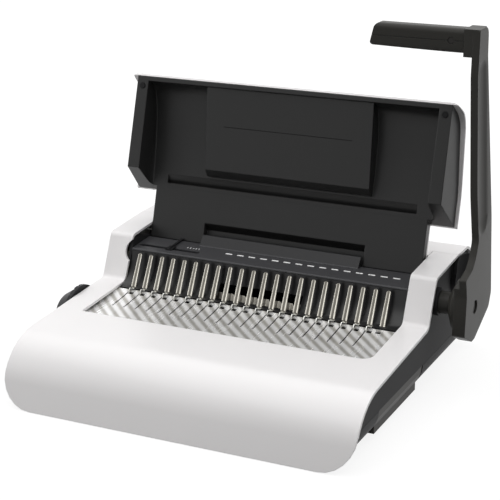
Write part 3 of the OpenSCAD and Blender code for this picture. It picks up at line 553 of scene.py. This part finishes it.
class BINDER_OT_mechanism(bpy.types.Operator):
    """Finishes the shaft, gears, cams, punch and other inner pieces"""
    bl_idname = "binder.mechanism"
    bl_label = "Mechanism"

    def execute(self, context):
        # Drawn bar: lines along its length
        dress(rolled_metal("drawn steel bar", "#9a9a98", 0.3, 0.6, (0.05, 1.0, 1.0), 0.003),
              "main_shaft", "idler_axles", "hinge_pins", "knob_shaft", "grip_core")
        # Hardened and ground: darker, with fine upright lines
        dress(rolled_metal("hardened steel, ground", "#7d7d7b", 0.38, 0.5, (1.0, 1.0, 0.2), 0.004),
              "punch_bar", "punch_pins", "punch_cams", "opener_gears", "idler_gears", "die_plate", "stop_cam")
        # Zinc-plated sheet: pale grey and slightly cloudy
        dress(rolled_metal("zinc-plated steel sheet", "#a5a5a3", 0.35, 2.5, (1.0, 0.3, 0.3), 0.004),
              "side_frames", "base_screws", "punch_springs")
        # Blackened steel: dark, with a dull oiled shine
        dress(rolled_metal("blackened steel screws", "#2b2a29", 0.45, 0.5, (1.0, 1.0, 1.0), 0.003),
              "grip_screw", "lever_screw")
        # Undyed nylon: milky and waxy
        dress(moulded_plastic("natural nylon, moulded", "#cfcab8", 0.45, 1.0, 0.01),
              "shaft_bushings", "knob_bushing", "hook_guides", "paper_stop")
        # Plain black ABS, dull and even
        dress(moulded_plastic("black ABS, chute", "#202022", 0.5, 1.1, 0.02), "chip_chute")
        return {"FINISHED"}


class BINDER_OT_smooth_faces(bpy.types.Operator):
    """Shades the round faces of the mouldings and of the sheet smoothly"""
    bl_idname = "binder.smooth_faces"
    bl_label = "Smooth faces"

    def execute(self, context):
        for node, slot in SMOOTH_NODES.items():
            smooth_twin(node)
        return {"FINISHED"}


class BINDER_OT_strip_marks(bpy.types.Operator):
    """Prints the dashes and the edge guide's ticks on the strip, and lays a dark sheet across the lid's panel
    as the painted shadow of its line
    """
    bl_idname = "binder.strip_marks"
    bl_label = "Strip marks"

    def execute(self, context):
        marks = context.scene.binder_marks
        # Printing ink: flat white, without a shine
        ink, tree, out = new_material("white printing ink")
        skin = add_node(tree, "ShaderNodeBsdfPrincipled", {"Base Color": marks.colour, "Roughness": 0.6})
        tree.links.new(skin.outputs["BSDF"], out.inputs["Surface"])
        slope = math.atan(STRIP_SLOPE)
        dash = flat_mark("strip_dashes", (marks.dash / MM, marks.width / MM, INK_T), DASH_CORNER, slope)
        dashes = copy_along(dash, [(FIRST_DASH_X + count * marks.pitch / MM, DASH_Y,
                                    strip_top(DASH_Y) + INK_LIFT) for count in range(DASH_COUNT)])
        finish_piece(dashes, ink, "machine")
        tick = flat_mark("guide_ticks", TICK_SIZE + (INK_T,), TICK_CORNER, slope)
        ticks = copy_along(tick, [(FIRST_TICK_X + count * TICK_PITCH, TICK_Y,
                                   strip_top(TICK_Y) + INK_LIFT) for count in range(TICK_COUNT)])
        finish_piece(ticks, ink, "machine")
        # The panel's line is so thin that only its dark shadow shows
        groove = moulded_plastic("black ABS, shadow line", "#0b0b0b", 0.5, 1.0, 0.01)
        finish_piece(self.panel_line(), groove, "lid")
        return {"FINISHED"}

    def panel_line(self):
        """The thin line across the lid's panel as a dark sheet of painted shadow, laid in the panel's plane
        as the lid stands open.
        """
        rear = Vector((0, *PANEL_REAR))
        front = Vector((0, *PANEL_FRONT))
        hinge = Vector((0, *HINGE))
        swing = Matrix.Rotation(-math.radians(LID_OPEN), 3, "X")
        place = swing @ (front + (rear - front) * PANEL_LINE - hinge) + hinge
        along = swing @ (rear - front)
        line = flat_mark("lid_panel_line", PANEL_LINE_SIZE, PANEL_LINE_CORNER, math.atan2(along.z, along.y))
        return copy_along(line, [place])


class BINDER_OT_studio(bpy.types.Operator):
    """Sets the floor, the lights, the world and the camera"""
    bl_idname = "binder.studio"
    bl_label = "Studio"

    def execute(self, context):
        studio = context.scene.binder_studio
        self.floor(studio)
        self.world(context, studio)
        self.softbox("overhead softbox", OVERHEAD_PLACE, OVERHEAD_TARGET, OVERHEAD_SIZE, studio.key)
        self.softbox("side softbox", SIDE_PLACE, SIDE_TARGET, SIDE_SIZE, studio.side)
        self.camera(context)
        return {"FINISHED"}

    def floor(self, studio):
        """A white sweep that shows the machine's shadow."""
        start_clean()
        bpy.ops.mesh.primitive_plane_add(size=FLOOR_SIZE, location=(0, 0, 0))
        floor = bpy.context.object
        floor.name = "floor"
        made, tree, out = new_material("white paper sweep")
        paper = add_node(tree, "ShaderNodeBsdfDiffuse", {"Color": studio.floor})
        # The glow grows with the distance from the machine, so that the shadow shows and no horizon does
        place = add_node(tree, "ShaderNodeTexCoord")
        far = add_node(tree, "ShaderNodeVectorMath", {0: place.outputs["Object"]}, operation="LENGTH")
        strength = add_node(tree, "ShaderNodeMapRange", {"Value": far.outputs["Value"],
                                                         **GLOW_NEAR, **GLOW_FAR})
        glow = add_node(tree, "ShaderNodeEmission", {"Color": WHITE, "Strength": strength.outputs["Result"]})
        dark = add_node(tree, "ShaderNodeEmission", {"Strength": 0.0})
        pick = add_node(tree, "ShaderNodeMixShader", {0: self.seen_rays(tree), 1: dark.outputs[0],
                                                      2: glow.outputs[0]})
        both = add_node(tree, "ShaderNodeAddShader", {0: paper.outputs[0], 1: pick.outputs[0]})
        tree.links.new(both.outputs[0], out.inputs["Surface"])
        floor.data.materials.append(made)

    def seen_rays(self, tree):
        """1 for camera, glossy and transmission rays, else 0."""
        path = add_node(tree, "ShaderNodeLightPath")
        first = add_node(tree, "ShaderNodeMath", {0: path.outputs["Is Camera Ray"],
                                                  1: path.outputs["Is Glossy Ray"]}, operation="MAXIMUM")
        both = add_node(tree, "ShaderNodeMath", {0: first.outputs[0], 1: path.outputs["Is Transmission Ray"]},
                        operation="MAXIMUM")
        return both.outputs[0]

    def world(self, context, studio):
        """White all round to look at and to reflect, and a weaker light from all round."""
        world = bpy.data.worlds.new("studio")
        world.use_nodes = True
        tree = world.node_tree
        tree.nodes.clear()
        seen = add_node(tree, "ShaderNodeBackground", {"Color": WHITE, "Strength": 1.0})
        light = add_node(tree, "ShaderNodeBackground", {"Color": WHITE, "Strength": studio.ambient})
        pick = add_node(tree, "ShaderNodeMixShader", {0: self.seen_rays(tree), 1: light.outputs[0],
                                                      2: seen.outputs[0]})
        add_node(tree, "ShaderNodeOutputWorld", {"Surface": pick.outputs[0]})
        context.scene.world = world

    def softbox(self, name, place, target, size, power):
        """A square lamp that faces its target."""
        start_clean()
        bpy.ops.object.light_add(type="AREA", location=place)
        lamp = bpy.context.object
        lamp.name = name
        lamp.data.size = size
        lamp.data.energy = power
        aim = Vector(target) - Vector(place)
        lamp.rotation_euler = aim.to_track_quat("-Z", "Y").to_euler()

    def camera(self, context):
        """The main view, from the front and a little above."""
        start_clean()
        bpy.ops.object.camera_add(location=CAMERA_PLACE, rotation=(CAMERA_TILT, 0, CAMERA_TURN))
        camera = bpy.context.object
        camera.name = "camera"
        camera.data.lens = CAMERA_LENS
        camera.data.sensor_width = CAMERA_SENSOR
        context.scene.camera = camera
        context.scene.view_settings.view_transform = "Standard"


class BINDER_PT_panel(bpy.types.Panel):
    """Sizes, colours and steps of the binding machine"""
    bl_label = "Comb Binding Machine"
    bl_idname = "BINDER_PT_panel"
    bl_space_type = "VIEW_3D"
    bl_region_type = "UI"
    bl_category = "Binder"

    def draw(self, context):
        for group in (context.scene.binder_marks, context.scene.binder_studio):
            column = self.layout.column()
            for key in group.bl_rna.properties.keys():
                if key not in ("rna_type", "name"):
                    column.prop(group, key)
        for step in STEPS:
            self.layout.operator(step.bl_idname)


STEPS = (
    BINDER_OT_white_shells,
    BINDER_OT_dark_covers,
    BINDER_OT_lid,
    BINDER_OT_comb_bay,
    BINDER_OT_tray,
    BINDER_OT_lever,
    BINDER_OT_knob,
    BINDER_OT_mechanism,
    BINDER_OT_smooth_faces,
    BINDER_OT_strip_marks,
    BINDER_OT_studio,
)
CLASSES = (BinderMarks, BinderStudio) + STEPS + (BINDER_PT_panel,)


def register():
    for item in CLASSES:
        bpy.utils.register_class(item)
    bpy.types.Scene.binder_marks = bpy.props.PointerProperty(type=BinderMarks)
    bpy.types.Scene.binder_studio = bpy.props.PointerProperty(type=BinderStudio)


def unregister():
    del bpy.types.Scene.binder_studio
    del bpy.types.Scene.binder_marks
    for item in reversed(CLASSES):
        bpy.utils.unregister_class(item)


def main():
    register()
    for step in STEPS:
        getattr(bpy.ops.binder, step.bl_idname.split(".")[1])()


if __name__ == "__main__":
    main()
